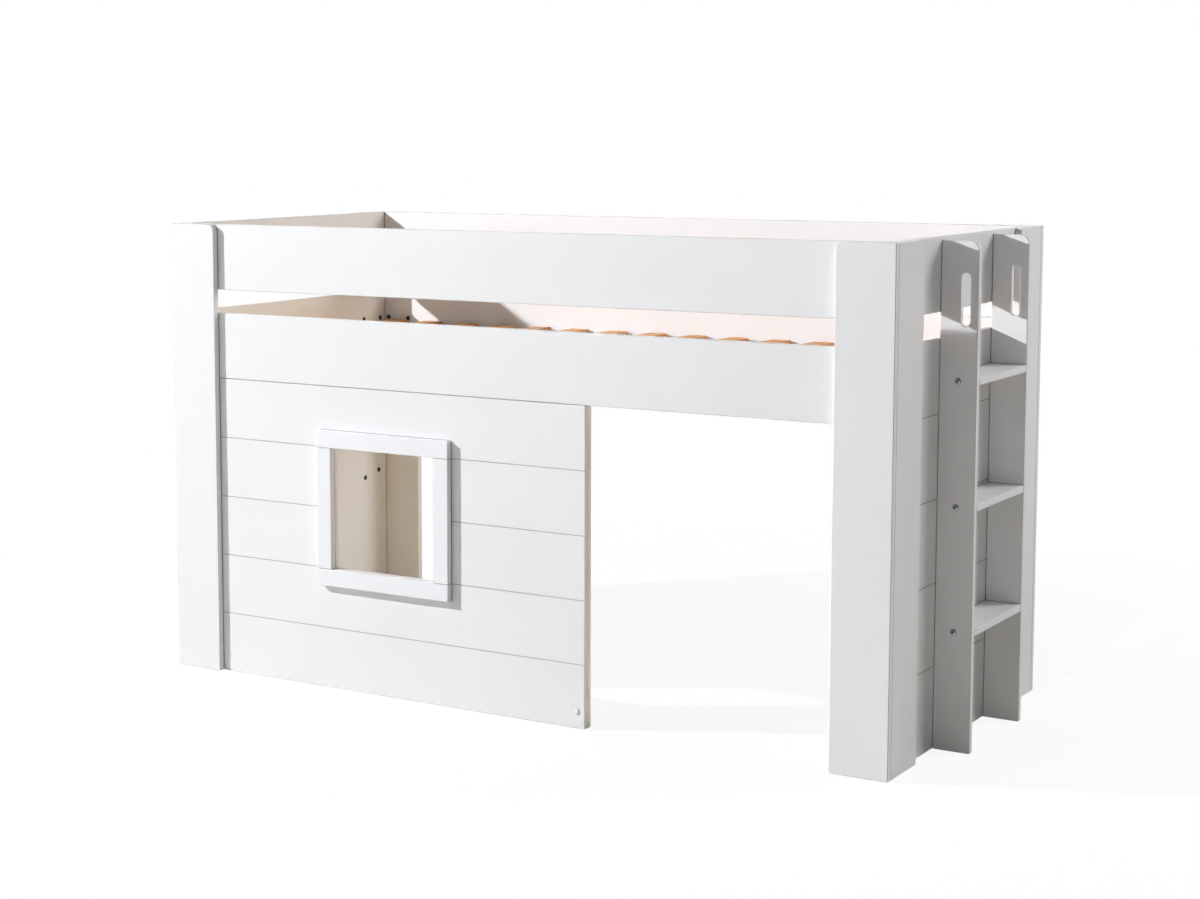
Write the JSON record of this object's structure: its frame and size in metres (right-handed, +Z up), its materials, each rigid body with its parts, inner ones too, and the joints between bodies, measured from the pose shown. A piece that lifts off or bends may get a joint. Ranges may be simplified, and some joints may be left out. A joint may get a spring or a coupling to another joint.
{
  "type": "mid sleeper bed",
  "caption": "White mid sleeper bed: raised single bed with guard rails, a plank-look front with a framed window over a play den, a fixed end ladder and a loose slatted base.",
  "frame": {"origin": "on the floor, under the middle of the whole object's box, ladder included", "axes": "+X along the bed towards the ladder end, +Y from the window side to the rear, +Z up"},
  "size_m": [2.149, 0.976, 1.213],
  "materials": {
    "white_lacquer": "satin white lacquer on fibreboard",
    "slat_pine": "planed, unfinished pine",
    "beech": "fluted, unfinished",
    "dark_steel": "dark zinc plated",
    "white_plastic": "moulded, satin",
    "strap_webbing": "woven polyester tape"
  },
  "bodies": {
    "frame": {"front_left_post_face": "white_lacquer", "front_left_post_side": "white_lacquer", "front_right_post_face": "white_lacquer", "front_right_post_side": "white_lacquer", "rear_left_post_face": "white_lacquer", "rear_left_post_side": "white_lacquer", "rear_right_post_face": "white_lacquer", "rear_right_post_side": "white_lacquer", "front_right_leg_liner": "white_lacquer", "rear_left_leg_liner": "white_lacquer", "rear_right_leg_liner": "white_lacquer", "front_bed_rail": "white_lacquer", "front_guard_rail": "white_lacquer", "rear_bed_rail": "white_lacquer", "rear_guard_rail": "white_lacquer", "left_end_panel": "white_lacquer", "left_end_guard": "white_lacquer", "right_end_panel": "white_lacquer", "right_end_guard": "white_lacquer", "house_panel": "white_lacquer", "house_panel_batten": "white_lacquer", "window_frame_top": "white_lacquer", "window_frame_bottom": "white_lacquer", "window_frame_left": "white_lacquer", "window_frame_right": "white_lacquer", "front_ladder_stile": "white_lacquer", "rear_ladder_stile": "white_lacquer", "ladder_step_1": "white_lacquer", "ladder_step_2": "white_lacquer", "ladder_step_3": "white_lacquer", "front_slat_ledger": "white_lacquer", "rear_slat_ledger": "white_lacquer", "frame_bolts": "dark_steel", "step_bolts": "dark_steel", "ladder_bolts": "dark_steel", "ledger_screws": "dark_steel", "window_frame_screws": "dark_steel", "batten_screw": "dark_steel", "step_dowels": "beech", "screw_cap": "white_plastic"},
    "slat_base": {"slat_1": "slat_pine", "slat_2": "slat_pine", "slat_3": "slat_pine", "slat_4": "slat_pine", "slat_5": "slat_pine", "slat_6": "slat_pine", "slat_7": "slat_pine", "slat_8": "slat_pine", "slat_9": "slat_pine", "slat_10": "slat_pine", "slat_11": "slat_pine", "slat_12": "slat_pine", "slat_13": "slat_pine", "slat_14": "slat_pine", "slat_15": "slat_pine", "slat_16": "slat_pine", "front_slat_strap": "strap_webbing", "rear_slat_strap": "strap_webbing"}
  },
  "joints": [
    {"name": "slat_base_lift", "type": "slide", "parent": "frame", "child": "slat_base", "axis": [0, 0, 1], "range_m": [0, 0.36]}
  ]
}
